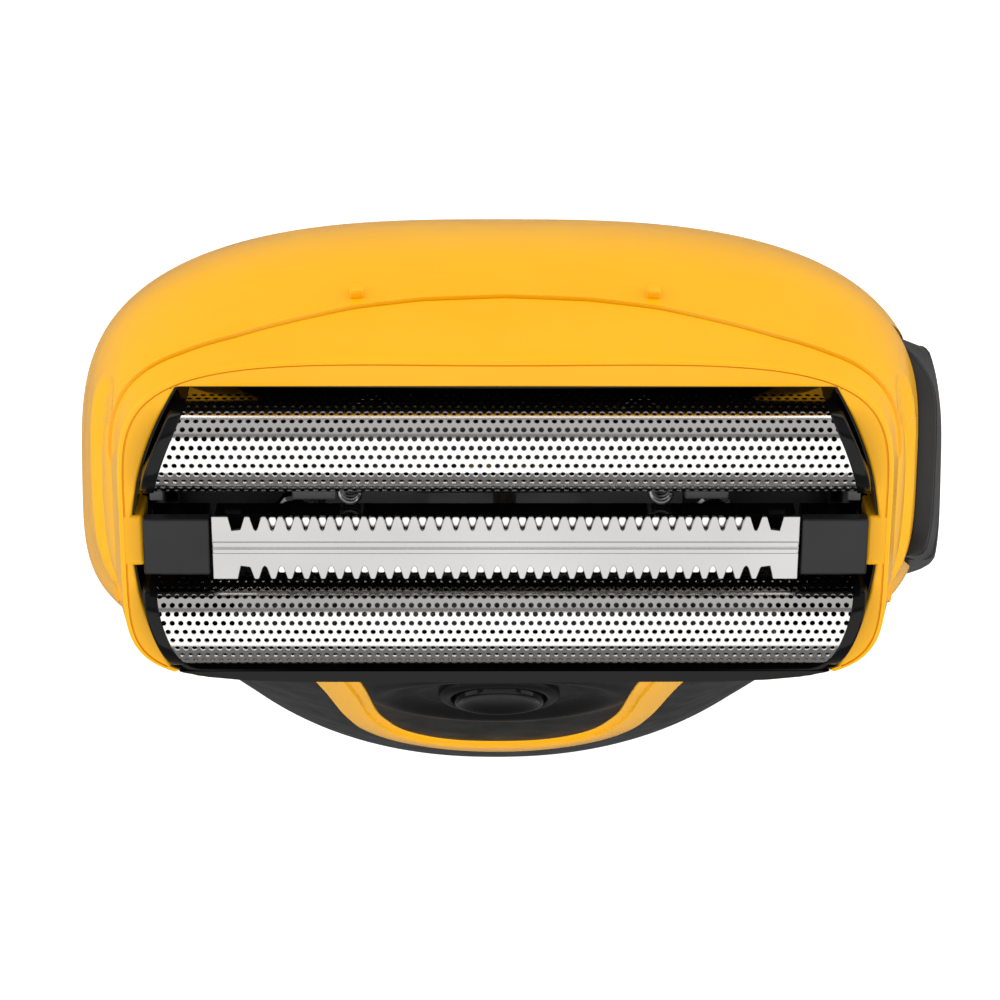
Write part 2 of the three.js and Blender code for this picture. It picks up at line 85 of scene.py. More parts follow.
# Skin sections, rim to base: height, y, tilt, half width, front depth, back
# depth, front squareness, back squareness.
SECTIONS = np.array([
    [116.3, -6.3, 28.5, 22.7, 10.35, 10.5, 6.5, 4.6],
    [112.95, -4.48, 28.5, 23.6, 10.5, 11.0, 6.2, 4.2],
    [109.5, -2.5, 28.0, 24.8, 10.6, 11.5, 5.6, 3.7],
    [103.5, -1.2, 22.0, 26.2, 10.7, 14.0, 4.8, 3.3],
    [97.0, -0.8, 14.5, 27.4, 11.9, 16.0, 4.2, 3.0],
    [90.0, -0.6, 8.0, 28.0, 12.9, 17.0, 3.6, 2.8],
    [82.0, -0.4, 3.0, 27.9, 14.3, 17.4, 3.0, 2.6],
    [74.0, -0.2, 1.0, 27.4, 16.1, 17.5, 2.6, 2.5],
    [62.0, 0.0, 0.0, 26.6, 18.7, 17.3, 2.25, 2.4],
    [50.0, 0.0, 0.0, 25.9, 19.5, 17.0, 2.2, 2.3],
    [34.0, 0.0, 0.0, 24.8, 19.0, 16.5, 2.2, 2.3],
    [16.0, 0.0, 0.0, 23.6, 17.4, 15.6, 2.2, 2.3],
    [1.2, 0.0, 0.0, 22.6, 16.0, 14.6, 2.2, 2.3],
    [0.0, 0.0, 0.0, 21.6, 15.0, 13.6, 2.2, 2.3],
])
LAST = len(SECTIONS) - 1
SLOPES = np.gradient(SECTIONS, axis=0)
SLOPES[-1] = SECTIONS[-1] - SECTIONS[-2]
SLOPES[-2] = (SECTIONS[-2] - SECTIONS[-3]) * 0.15
HALVINGS = 20
SEAM = [(0, -9), (5, -8.6), (9, -7.7), (13, -6.2), (16, -5.1), (19, -4.5), (34, -4.5)]
SPLIT = [(0, -11.8), (60, -11.8), (90, -11.3), (97, -10.7), (104, -10.4), (130, -10.4)]
BAND_OUTER = [(0, 58.5), (4.6, 59.3), (8, 61), (10.1, 64), (11.2, 68), (12.5, 77), (13.7, 85), (14.6, 91)]
BAND_INNER = [(0, 62.2), (4.5, 62.8), (7, 64.7), (8.4, 68), (9.5, 77), (10.5, 85), (11.3, 91)]

# ---- Frames of reference ---------------------------------------------------

LEAN = math.radians(HEAD_TILT)
HEAD_BACK = np.array([0.0, math.cos(LEAN), math.sin(LEAN)])
HEAD_UP = np.array([0.0, -math.sin(LEAN), math.cos(LEAN)])
HEAD_ORIGIN = np.array([0.0, FACE_Y, FACE_HEIGHT])
SIDE = np.array([1.0, 0.0, 0.0])


def from_head(points):
    """Points given as x, back, up in the leaning head, in the row frame."""
    p = np.asarray(points, float)
    return HEAD_ORIGIN + p[..., :1] * SIDE + p[..., 1:2] * HEAD_BACK + p[..., 2:3] * HEAD_UP


def to_head(points):
    p = np.asarray(points, float) - HEAD_ORIGIN
    return np.stack([p[..., 0], p @ HEAD_BACK, p @ HEAD_UP], -1)


def unit(v):
    return v / np.maximum(np.linalg.norm(v, axis=-1, keepdims=True), 1e-12)


def smoothstep(low, high, value):
    t = np.clip((value - low) / (high - low), 0, 1)
    return t * t * (3 - 2 * t)


# ---- The skin of the handle and head ---------------------------------------

def sections_at(v):
    """The section table at row position v, joined by a smooth cubic."""
    v = np.clip(np.asarray(v, float), 0, LAST)
    row = np.minimum(v.astype(int), LAST - 1)
    t = (v - row)[..., None]
    a, b = SECTIONS[row], SECTIONS[row + 1]
    da, db = SLOPES[row], SLOPES[row + 1]
    return ((2 * t**3 - 3 * t**2 + 1) * a + (t**3 - 2 * t**2 + t) * da
            + (3 * t**2 - 2 * t**3) * b + (t**3 - t**2) * db)


def skin(angle, v, inset=0.0):
    """Points of the skin: angle runs round it, v down it, inset goes inwards."""
    angle, v = np.broadcast_arrays(np.asarray(angle, float), np.asarray(v, float))
    s = sections_at(v)
    c, d = np.cos(angle), np.sin(angle)
    square = np.where(d < 0, s[..., 6], s[..., 7])
    reach = (np.abs(c)**square + np.abs(d)**square)**(-1 / square)
    depth = np.where(d < 0, s[..., 4], s[..., 5]) - inset
    along = depth * reach * d
    turn = np.radians(s[..., 2])
    x = (s[..., 3] - inset) * reach * c
    return np.stack([x, s[..., 1] + along * np.cos(turn), s[..., 0] + along * np.sin(turn)], -1)


def skin_normal(angle, v):
    step = 1e-3
    across = skin(angle + step, v) - skin(angle - step, v)
    down = skin(angle, np.minimum(v + step, LAST)) - skin(angle, np.maximum(v - step, 0))
    return unit(np.cross(down, across)) * -1


def interpolate(table, x):
    xs, ys = zip(*table)
    return np.interp(x, xs, ys)


def halve(low, high, is_low):
    """The place between low and high where is_low stops being true, by halving."""
    for _ in range(HALVINGS):
        middle = (low + high) / 2
        below = is_low(middle)
        low, high = np.where(below, middle, low), np.where(below, high, middle)
    return (low + high) / 2


def seam_row(angle, lift=0.0):
    """Row position where the skin meets the seam under the head frame."""
    def above(v):
        h = to_head(skin(angle, v))
        return h[..., 2] > interpolate(SEAM, np.abs(h[..., 0])) + lift
    return halve(np.zeros_like(angle), np.full_like(angle, 4.0), above)


def height_row(angle, z):
    """Row position where the skin is at height z."""
    return halve(np.zeros_like(angle), np.full_like(angle, float(LAST)),
                 lambda v: skin(angle, v)[..., 2] > z)


def split_angle(v, shift):
    """Angle on the right side, below the x axis, where the shells part."""
    def ahead(angle):
        p = skin(angle, v)
        return p[..., 1] <= interpolate(SPLIT, p[..., 2]) + shift
    return halve(np.full_like(v, -math.pi / 2), np.full_like(v, 0.3), ahead)


def front_y(x, z, inset=0.0):
    """y of the handle's front at x and z."""
    x, z = np.broadcast_arrays(np.asarray(x, float), np.asarray(z, float))
    low, high = np.full(x.shape, 2.5), np.full(x.shape, float(LAST))
    for _ in range(HALVINGS):
        v = (low + high) / 2
        s = sections_at(v)
        ratio = np.clip(np.abs(x) / (s[..., 3] - inset), 0, 0.9999)
        along = -(s[..., 4] - inset) * (1 - ratio**s[..., 6])**(1 / s[..., 6])
        turn = np.radians(s[..., 2])
        above = s[..., 0] + along * np.sin(turn) > z
        low, high = np.where(above, v, low), np.where(above, high, v)
    return s[..., 1] + along * np.cos(turn)


def front_point(x, z):
    return np.stack([np.broadcast_to(x, np.shape(z)) + 0.0 * z, front_y(x, z), z + 0.0 * x], -1)


def front_normal(x, z):
    step = 0.05
    dx = front_point(x + step, z) - front_point(x - step, z)
    dz = front_point(x, z + step) - front_point(x, z - step)
    return unit(np.cross(dx, dz))


# ---- Making pieces ---------------------------------------------------------

MATERIALS = {}


def build_mesh(name, points, faces):
    mesh = bpy.data.meshes.new(name)
    mesh.from_pydata([tuple(p) for p in np.asarray(points, float) * MM], [], faces)
    mesh.validate()
    work = bmesh.new()
    work.from_mesh(mesh)
    bmesh.ops.recalc_face_normals(work, faces=work.faces)
    work.to_mesh(mesh)
    work.free()
    return mesh


def piece(name, points, faces, look, body, nodes=(), angle=35):
    """A new shown piece, in millimetres, riding on a body and standing for CAD nodes."""
    mesh = build_mesh(name, points, faces)
    made = bpy.data.objects.new(name, mesh)
    bpy.context.collection.objects.link(made)
    mesh.materials.append(MATERIALS[look])
    smooth(mesh, angle)
    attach(made, body)
    if nodes:
        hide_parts(*nodes)
    return made


def smooth(mesh, angle):
    mesh.shade_smooth()
    mesh.set_sharp_from_angle(angle=math.radians(angle))


def loft(rings, path_closed=False, ring_closed=True, caps=True):
    """Points and faces of a surface through rings of equally many points."""
    rings = np.asarray(rings, float)
    count, size = rings.shape[:2]
    faces = []
    for i in range(count if path_closed else count - 1):
        for j in range(size if ring_closed else size - 1):
            a, b = i * size + j, i * size + (j + 1) % size
            c, d = ((i + 1) % count) * size + (j + 1) % size, ((i + 1) % count) * size + j
            faces.append((a, b, c, d))
    if caps and not path_closed:
        faces.append(tuple(range(size))[::-1])
        faces.append(tuple((count - 1) * size + j for j in range(size)))
    return rings.reshape(-1, 3), faces


def fillet(corner, first, second, radius, steps=4):
    """Points rounding a corner, from the leg along first to the leg along second."""
    centre = corner + radius * (first + second)
    turns = np.linspace(0, math.pi / 2, steps)
    return [centre - radius * (first * math.sin(t) + second * math.cos(t)) for t in turns]


def bevel(made, width, segments=3, angle=30):
    modifier = made.modifiers.new("edges", "BEVEL")
    modifier.width = width * MM
    modifier.segments = segments
    modifier.limit_method = "ANGLE"
    modifier.angle_limit = math.radians(angle)
    modifier.harden_normals = False
    return made


def apply_modifiers(made):
    bpy.context.view_layer.update()
    graph = bpy.context.evaluated_depsgraph_get()
    mesh = bpy.data.meshes.new_from_object(made.evaluated_get(graph))
    made.modifiers.clear()
    made.data = mesh
    return made


def cut(made, points, faces):
    """Cuts a closed shape, in millimetres, out of a piece."""
    mesh = build_mesh("cutter", points, faces)
    tool = bpy.data.objects.new("cutter", mesh)
    bpy.context.collection.objects.link(tool)
    modifier = made.modifiers.new("cut", "BOOLEAN")
    modifier.operation = "DIFFERENCE"
    modifier.solver = "MANIFOLD"
    modifier.object = tool
    apply_modifiers(made)
    bpy.data.objects.remove(tool)
    bpy.data.meshes.remove(mesh)
    smooth(made.data, 35)
    return made


def prism(outline, low, high, along):
    """A closed prism: outline holds 3-D points, moved by low and high along a direction."""
    outline, along = np.asarray(outline, float), np.asarray(along, float)
    return loft([outline + low * along, outline + high * along])


def box_points(low, high):
    (x0, y0, z0), (x1, y1, z1) = low, high
    outline = [(x0, y0, 0), (x1, y0, 0), (x1, y1, 0), (x0, y1, 0)]
    return prism(outline, z0, z1, (0, 0, 1))


def join(parts):
    """Several point and face lists as one."""
    points, faces, start = [], [], 0
    for part_points, part_faces in parts:
        points.append(np.asarray(part_points, float))
        faces.extend(tuple(i + start for i in face) for face in part_faces)
        start += len(part_points)
    return np.concatenate(points), faces


# ---- Materials -------------------------------------------------------------

def new_material(name):
    made = bpy.data.materials.new(name)
    made.use_nodes = True
    shader = made.node_tree.nodes["Principled BSDF"]
    MATERIALS[name] = made
    return made.node_tree, shader


def noise(tree, scale, detail=3.0, stretch=(1, 1, 1), roughness=0.5):
    """A noise texture in object space, in features per metre."""
    where = tree.nodes.new("ShaderNodeTexCoord")
    mapping = tree.nodes.new("ShaderNodeMapping")
    mapping.inputs["Scale"].default_value = stretch
    texture = tree.nodes.new("ShaderNodeTexNoise")
    texture.inputs["Scale"].default_value = scale
    texture.inputs["Detail"].default_value = detail
    texture.inputs["Roughness"].default_value = roughness
    tree.links.new(where.outputs["Object"], mapping.inputs["Vector"])
    tree.links.new(mapping.outputs["Vector"], texture.inputs["Vector"])
    return texture.outputs["Fac"]


def ramp(tree, value, low, high, start=0.3, end=0.7):
    """A colour or grey ramp between low and high."""
    made = tree.nodes.new("ShaderNodeValToRGB")
    made.color_ramp.elements[0].position = start
    made.color_ramp.elements[1].position = end
    made.color_ramp.elements[0].color = (*low, 1) if isinstance(low, tuple) else (low, low, low, 1)
    made.color_ramp.elements[1].color = (*high, 1) if isinstance(high, tuple) else (high, high, high, 1)
    tree.links.new(value, made.inputs["Fac"])
    return made.outputs["Color"]


def bump(tree, shader, value, distance, strength=0.3):
    made = tree.nodes.new("ShaderNodeBump")
    made.inputs["Strength"].default_value = strength
    made.inputs["Distance"].default_value = distance
    tree.links.new(value, made.inputs["Height"])
    tree.links.new(made.outputs["Normal"], shader.inputs["Normal"])


def surface(name, low, high, rough, grain, depth, metallic=0.0, coat=0.0, stretch=(1, 1, 1), strength=0.3,
            gloss=0.5):
    """A material whose colour, roughness and fine relief vary over the surface."""
    tree, shader = new_material(name)
    shader.inputs["Metallic"].default_value = metallic
    shader.inputs["Coat Weight"].default_value = coat
    shader.inputs["Specular IOR Level"].default_value = gloss
    shader.inputs["Coat Roughness"].default_value = 0.04
    cloud = noise(tree, 90, 2.0)
    tree.links.new(ramp(tree, cloud, low, high), shader.inputs["Base Color"])
    wear = noise(tree, 420, 4.0, stretch)
    tree.links.new(ramp(tree, wear, rough[0], rough[1]), shader.inputs["Roughness"])
    bump(tree, shader, noise(tree, grain, 2.0, stretch), depth, strength)
    return shader


def make_materials():
    surface("yellow gloss plastic", (0.91, 0.43, 0.004), (0.94, 0.455, 0.007), (0.14, 0.2), 900, 0.00001,
            coat=0.05, strength=0.05, gloss=0.2)
    surface("soft black plastic", (0.006, 0.006, 0.0063), (0.01, 0.01, 0.0104), (0.36, 0.5), 9000, 0.00003,
            gloss=0.24)
    surface("pad black rubber", (0.003, 0.003, 0.003), (0.005, 0.005, 0.005), (0.34, 0.46), 11000, 0.00002,
            gloss=0.15)
    surface("gloss black plastic", (0.003, 0.003, 0.0032), (0.005, 0.005, 0.0053), (0.1, 0.18), 1200, 0.00001,
            coat=0.03, strength=0.05, gloss=0.14)
    surface("satin black plastic", (0.012, 0.012, 0.0124), (0.018, 0.018, 0.0185), (0.28, 0.38), 5000,
            0.00001, gloss=0.24)
    surface("grey plastic", (0.06, 0.062, 0.065), (0.09, 0.093, 0.096), (0.4, 0.5), 4000, 0.00002)
    surface("foil steel", (0.6, 0.585, 0.57), (0.68, 0.665, 0.65), (0.1, 0.18), 2500, 0.000004, metallic=1.0,
            stretch=(0.08, 1, 1), strength=0.12)
    surface("ground steel", (0.6, 0.59, 0.58), (0.7, 0.69, 0.68), (0.24, 0.36), 3500, 0.000005, metallic=1.0,
            stretch=(0.05, 1, 1), strength=0.2)
    surface("comb steel", (0.4, 0.395, 0.39), (0.46, 0.455, 0.45), (0.2, 0.3), 3500, 0.000005, metallic=1.0,
            stretch=(0.05, 1, 1), strength=0.2)
    surface("dark steel", (0.28, 0.28, 0.29), (0.42, 0.42, 0.43), (0.22, 0.34), 3500, 0.000005, metallic=1.0)
    # The cutter blades are steel, but coloured near black: painted shade that darkens the holes under the
    # foil.
    surface("cutter steel painted shade", (0.06, 0.06, 0.06), (0.11, 0.11, 0.11), (0.3, 0.4), 3500, 0.000005, metallic=1.0)
    surface("brass", (0.55, 0.38, 0.14), (0.68, 0.48, 0.2), (0.25, 0.36), 3000, 0.000005, metallic=1.0)
    surface("board green", (0.01, 0.1, 0.035), (0.02, 0.16, 0.06), (0.35, 0.45), 3000, 0.00001)
    surface("cell wrap", (0.03, 0.09, 0.3), (0.05, 0.13, 0.4), (0.25, 0.35), 2000, 0.00001)


# ---- Shapes shared by the head's pieces ------------------------------------

def opening_half(a):
    return 22.05 - 0.03 * (np.maximum(a, -9.6) + 0.3)**2


def arch_profile(inset, steps, bottom=FOIL_BOTTOM):
    """The foil's arch as back and up positions, front foot to back foot."""
    half, crest = FOIL_HALF - inset, FOIL_CREST - inset
    turn = np.linspace(math.pi, 0, steps)
    c, s = np.cos(turn), np.abs(np.sin(turn))
    across = np.sign(c) * np.abs(c)**ARCH_POWER * half
    up = FOIL_SHOULDER + s**ARCH_POWER * (crest - FOIL_SHOULDER)
    across = np.concatenate([[-half], across, [half]])
    up = np.concatenate([[bottom], up, [bottom]])
    return np.stack([across, up], -1)


def arch_lookup(inset, bottom=FOIL_BOTTOM):
    """Length of the arch, and its point and outward normal at a length along it."""
    outline = arch_profile(inset, 400, bottom)
    steps = np.linalg.norm(np.diff(outline, axis=0), axis=1)
    length = np.concatenate([[0], np.cumsum(steps)])

    def at(s):
        point = np.stack([np.interp(s, length, outline[:, k]) for k in (0, 1)], -1)
        ahead = np.stack([np.interp(s + 0.05, length, outline[:, k]) for k in (0, 1)], -1)
        behind = np.stack([np.interp(s - 0.05, length, outline[:, k]) for k in (0, 1)], -1)
        tangent = unit(ahead - behind)
        return point, np.stack([-tangent[..., 1], tangent[..., 0]], -1)

    return length[-1], at


# ---- Foils -----------------------------------------------------------------

def foil(name, offset):
    """A thin arched steel sheet with staggered rows of round holes."""
    total, at = arch_lookup(0.0)
    rows = int(total / HOLE_ROW)
    row_height = total / rows
    around = 2 * math.pi * (np.arange(HOLE_SIDES) + 0.5) / HOLE_SIDES
    half = HOLE_PITCH / 2
    # The cell's border: quarter points along its long sides, so that staggered rows share them.
    edge = np.array([(half, row_height / 4), (half / 2, row_height / 2), (0, row_height / 2),
                     (-half / 2, row_height / 2), (-half, row_height / 2), (-half, 0),
                     (-half, -row_height / 2), (-half / 2, -row_height / 2), (0, -row_height / 2),
                     (half / 2, -row_height / 2), (half, -row_height / 2), (half, 0)])
    edge[0] = (half, row_height / 2)
    order = np.argsort(np.arctan2(edge[:, 1], edge[:, 0]))
    edge = edge[order]
    circle = HOLE_RADIUS * np.stack([np.cos(around - math.pi), np.sin(around - math.pi)], -1)
    circle = circle[np.argsort(np.arctan2(circle[:, 1], circle[:, 0]))]
    places, faces = [], []

    def add_point(x, s, drop=0.0):
        places.append((x, s, drop))
        return len(places) - 1

    first = 3  # the lowest rows hide in the cassette and stay unpierced
    for row in range(rows):
        centre = (row + 0.5) * row_height
        profile, _ = at(np.asarray(centre))
        end = float(opening_half(profile[0] + offset)) - FOIL_END
        edges = [at(np.asarray(centre + side * row_height / 2))[0][0] + offset for side in (-1, 1)]
        ends = [float(opening_half(e)) - FOIL_END for e in edges]
        if row < first or row >= rows - first:
            quad = [add_point(-ends[0], centre - row_height / 2), add_point(ends[0], centre - row_height / 2),
                    add_point(ends[1], centre + row_height / 2), add_point(-ends[1], centre + row_height / 2)]
            faces.append(tuple(quad))
            continue
        shift = half if row % 2 else 0.0
        reach = int((end - 0.28 - shift) / HOLE_PITCH)
        centres = [shift + k * HOLE_PITCH for k in range(-reach - (1 if row % 2 else 0), reach + 1)]
        for x in centres:
            rim = [add_point(x + dx, centre + ds) for dx, ds in edge]
            hole = [add_point(x + dx, centre + ds) for dx, ds in circle]
            under = [add_point(x + dx * 0.96, centre + ds * 0.96, 0.1) for dx, ds in circle]
            for k in range(HOLE_SIDES):
                n = (k + 1) % HOLE_SIDES
                faces.append((rim[k], rim[n], hole[n], hole[k]))
                faces.append((hole[k], hole[n], under[n], under[k]))
        for side in (-1, 1):
            x = (min(centres) - half) if side < 0 else (max(centres) + half)
            quad = [add_point(x, centre - row_height / 2), add_point(side * ends[0], centre - row_height / 2),
                    add_point(side * ends[1], centre + row_height / 2), add_point(x, centre + row_height / 2)]
            faces.append(tuple(quad))
    places = np.array(places)
    profile, normal = at(places[:, 1])
    flat = profile - normal * places[:, 2:]
    mesh_points = from_head(np.column_stack([places[:, 0], flat[:, 0] + offset, flat[:, 1]]))
    made = piece(name + "_mesh", mesh_points, faces, "foil steel", name, [name], angle=40)
    work = bmesh.new()
    work.from_mesh(made.data)
    bmesh.ops.remove_doubles(work, verts=work.verts, dist=0.004 * MM)
    bmesh.ops.recalc_face_normals(work, faces=work.faces)
    work.to_mesh(made.data)
    work.free()
    arch_normals(made.data, offset)
    return made


def arch_normals(mesh, offset):
    """Gives a foil the shading normals of its smooth arch."""
    places = np.empty(len(mesh.vertices) * 3)
    mesh.vertices.foreach_get("co", places)
    local = to_head(places.reshape(-1, 3) / MM)
    total, at = arch_lookup(0.0)
    profile, normal = at(np.linspace(0, total, 300))
    gap = ((local[:, 1:2] - offset - profile[:, 0])**2 + (local[:, 2:3] - profile[:, 1])**2)
    chosen = normal[np.argmin(gap, axis=1)]
    turned_back = chosen[:, :1] * HEAD_BACK + chosen[:, 1:2] * HEAD_UP
    mesh.shade_smooth()
    mesh.normals_split_custom_set_from_vertices([tuple(n) for n in turned_back])


def foil_cap(name, offset, side, body):
    """The moulded end of a foil: a rounded strip that follows the arch."""
    outline = arch_profile(-0.1, 60)
    lower = arch_profile(1.1, 60)
    rings = []
    for (a, b), (a2, b2) in zip(outline, lower):
        outer = float(opening_half(a + offset)) - 0.32
        inner = outer - 0.85
        down = unit(np.array([0.0, a2 - a, b2 - b]))
        out = np.array([1.0, 0.0, 0.0])
        top_in = np.array([inner, a + offset, b])
        top_out = np.array([outer, a + offset, b])
        ring = [np.array([inner, a2 + offset, b2])]
        ring += fillet(top_in, down, out, 0.12)
        ring += fillet(top_out, -out, down, 0.2)
        ring += [np.array([outer, a2 + offset, b2])]
        ring = np.array(ring) * np.array([side, 1, 1])
        rings.append(from_head(ring))
    points, faces = loft(rings)
    return piece(name + "_moulding", points, faces, "gloss black plastic", body,
                 [name])


def cutter(name, offset):
    """Thin arched blades on a spine, under one foil; their near-black colour is painted shade under the foil.
    """
    parts = [box_points((-16.2, offset - 1.1, -4.1), (16.2, offset + 1.1, -2.6))]
    outline = arch_profile(0.62, 22, -3.6)
    for i in range(34):
        x = (i - 16.5) * 0.97
        ring = [(0, a + offset, b) for a, b in outline]
        parts.append(prism(ring, x - 0.09, x + 0.09, (1, 0, 0)))
    points, faces = join(parts)
    return piece(name + "_blades", from_head(points), faces, "cutter steel painted shade", name, [name])


# ---- Trimmer between the foils ---------------------------------------------

def tooth_line(count, tip, root, width, narrow):
    """One row of teeth as an outline from left to right, with rounded gullets."""
    points = []
    for i in range(count):
        x = (i - (count - 1) / 2) * TOOTH_PITCH
        gullet = root + 0.07 * (1 if tip > root else -1)
        points += [(x - width, gullet), (x - width * 0.86, root + (tip - root) * 0.22),
                   (x - narrow, tip - (tip - root) * 0.06), (x - narrow * 0.55, tip),
                   (x + narrow * 0.55, tip), (x + narrow, tip - (tip - root) * 0.06),
                   (x + width * 0.86, root + (tip - root) * 0.22), (x + width, gullet)]
        points.append((x + TOOTH_PITCH / 2, root))
    return points[:-1]


def plate(outline, low, high):
    """A flat plate in the head, from an outline of x and back positions."""
    return prism([(x, a, 0) for x, a in outline], low, high, (0, 0, 1))


def trimmer_comb():
    back = tooth_line(32, 1.93, 1.03, 0.4, 0.15)[::-1]
    front = tooth_line(31, -2.07, -1.23, 0.4, 0.15)
    outline = (front + [(15.55, -1.23), (15.75, -2.07), (COMB_HALF, -2.07), (COMB_HALF, 1.93), (16.25, 1.93),
                        (16.05, 1.03)] + back
               + [(-16.05, 1.03), (-16.25, 1.93), (-COMB_HALF, 1.93), (-COMB_HALF, -2.07), (-15.75, -2.07),
                  (-15.55, -1.23)])
    points, faces = plate(outline, -0.28, 0)
    made = piece("trimmer_comb_plate", from_head(points), faces, "comb steel", "trimmer_float",
                 ["trimmer_comb"])
    bevel(made, 0.035, 2, 50)
    ribs = [(-0.02, 0.34), (-0.42, -0.1)]
    parts = [box_points((-COMB_HALF + 0.02, low, -0.05), (COMB_HALF - 0.02, high, 0.06))
             for low, high in ribs]
    points, faces = join(parts)
    rib = piece("trimmer_comb_ribs", from_head(points), faces, "comb steel", "trimmer_float")
    return bevel(rib, 0.05, 3)


def trimmer_blade():
    back = tooth_line(29, 1.72, 0.85, 0.42, 0.2)[::-1]
    front = tooth_line(28, -1.85, -1.0, 0.42, 0.2)
    outline = front + [(14.9, -1.0), (14.9, 0.85)] + back + [(-14.9, 0.85), (-14.9, -1.0)]
    points, faces = plate(outline, -0.72, -0.42)
    made = piece("trimmer_blade_plate", from_head(points), faces, "foil steel", "trimmer_blade",
                 ["trimmer_blade"])
    return bevel(made, 0.03, 2, 50)


def end_block(name, side):
    low, high = (-21.25, -17.35) if side < 0 else (17.35, 21.25)
    points, faces = box_points((low, -1.8, -0.95), (high, 1.74, 0.02))
    made = piece(name + "_moulding", from_head(points), faces, "satin black plastic", "trimmer_float",
                 [name])
    bevel(made, 0.14, 4)
    points, faces = box_points((low + 0.25, -1.55, -4.4), (high - 0.25, 0.95, -0.9))
    foot = piece(name + "_foot", from_head(points), faces, "gloss black plastic", "trimmer_float")
    return bevel(foot, 0.12, 3)


# ---- Head frame ------------------------------------------------------------

def barrel_hit(x, a):
    """Scale along the ray from the opening's centre to its wall, for rim points."""
    low, high = np.full(x.shape, 0.3), np.full(x.shape, 1.4)
    centre = 0.72
    for _ in range(HALVINGS):
        t = (low + high) / 2
        px, pa = x * t, centre + (a - centre) * t
        inside = (np.abs(px) < opening_half(pa)) & (pa < 9.6)
        low, high = np.where(inside, t, low), np.where(inside, high, t)
    return np.minimum(low, 0.985)


def rim_angles(count):
    start = -0.81
    return np.linspace(start, math.pi - start, count)


def rim_inner(angles):
    """The rim's outer edge and the opening's edge in the head, at angles round the skin."""
    outer = to_head(skin(angles, np.zeros_like(angles)))
    reach = barrel_hit(outer[:, 0], outer[:, 1])
    inner = np.column_stack([outer[:, 0] * reach, 0.72 + (outer[:, 1] - 0.72) * reach, outer[:, 2]])
    return outer, inner


def head_frame():
    """The glossy frame round the foils, open at the front, with a lip round its opening."""
    angles = rim_angles(440)
    straight = np.array([0.0, 0.0, -1.0])
    rings = []
    for angle, outer, inner, v_end in zip(angles, *rim_inner(angles), seam_row(angles)):
        inward = unit(inner - outer)
        wall = to_head(skin(np.full(15, angle), np.linspace(0, v_end, 16)[1:]))
        down = unit(wall[0] - outer)
        ring = [inner + straight * 5.5]
        ring += fillet(inner, straight, -inward, 0.16)
        ring += [outer + inward * (0.3 + groove) - straight * drop
                 for groove, drop in ((0.06, 0), (0.02, -0.13), (-0.02, -0.13), (-0.06, 0.02))]
        ring += fillet(outer, inward, down, 0.14, 4)
        ring += list(wall[1:-1])
        last = wall[-1]
        up = unit(wall[-2] - last)
        level = unit(inner + straight * (outer[2] - last[2]) - last)
        ring += fillet(last, up, level, 0.14, 4)
        ring += [last + level * 1.1]
        rings.append(from_head(np.array(ring)))
    points, faces = loft(rings)
    return piece("head_frame_shell", points, faces, "yellow gloss plastic", "foil_head",
                 ["head_frame"])


def cassette_liner():
    """The dark wall inside the frame's opening."""
    angles = rim_angles(260)
    outer, inner = rim_inner(angles)
    inward = unit(inner - outer)
    straight = np.array([0.0, 0.0, -1.0])
    rings = []
    for edge, way in zip(inner, inward):
        near, far = edge + way * 0.03, edge + way * 0.14
        rings.append(from_head(np.array([near + straight * 8, near + straight * 0.17, far + straight * 0.17,
                                         far + straight * 8])))
    points, faces = loft(rings)
    return piece("cassette_liner_wall", points, faces, "gloss black plastic", "foil_head")


def key_tab(side):
    """The tab at the middle of each side of the frame that keys the foil cassette."""
    low, high = (-22.6, -21.35) if side < 0 else (21.35, 22.6)
    points, faces = box_points((low, -1.75, -4.5), (high, 1.45, RIM_B + 0.02))
    name = "head_frame_key_left" if side < 0 else "head_frame_key_right"
    made = piece(name, from_head(points), faces, "yellow gloss plastic", "foil_head")
    return bevel(made, 0.2, 4)


def foil_cassette():
    """The black front wall of the cassette, with a rounded top edge that turns back at its ends."""
    out = np.array([0.0, -1.0, 0.0])
    up = np.array([0.0, 0.0, 1.0])
    rings = []
    for x in np.linspace(-19.7, 19.7, 160):
        bow = 0.2 * (x / 20.1)**2 + 0.32 * max(0.0, abs(x) - 18.2)**2
        front, back = -9.6 + bow, -8.95 + bow
        ring = [np.array([x, back, -9.0])]
        ring += fillet(np.array([x, back, -1.62]), -up, out, 0.12)
        ring += fillet(np.array([x, front, -1.62]), -out, -up, 0.4, 6)
        ring += [np.array([x, front - 0.06, -5.0]), np.array([x, front - 0.08, -9.0])]
        rings.append(from_head(np.array(ring)))
    points, faces = loft(rings)
    return piece("cassette_front_wall", points, faces, "gloss black plastic", "foil_head")


def coil(x, a, low, high, radius, wire, turns):
    """Points and faces of a coil spring standing in the head."""
    count, around = turns * 28, 10
    rings = []
    for turn in np.linspace(0, 2 * math.pi * turns, count):
        share = turn / (2 * math.pi * turns)
        out = np.array([math.cos(turn), math.sin(turn), 0.0])
        centre = np.array([x, a, low + (high - low) * share]) + out * radius
        ring = [centre + wire * (math.cos(t) * out + math.sin(t) * np.array([0, 0, 1]))
                for t in np.linspace(0, 2 * math.pi, around, endpoint=False)]
        rings.append(ring)
    return loft(rings)


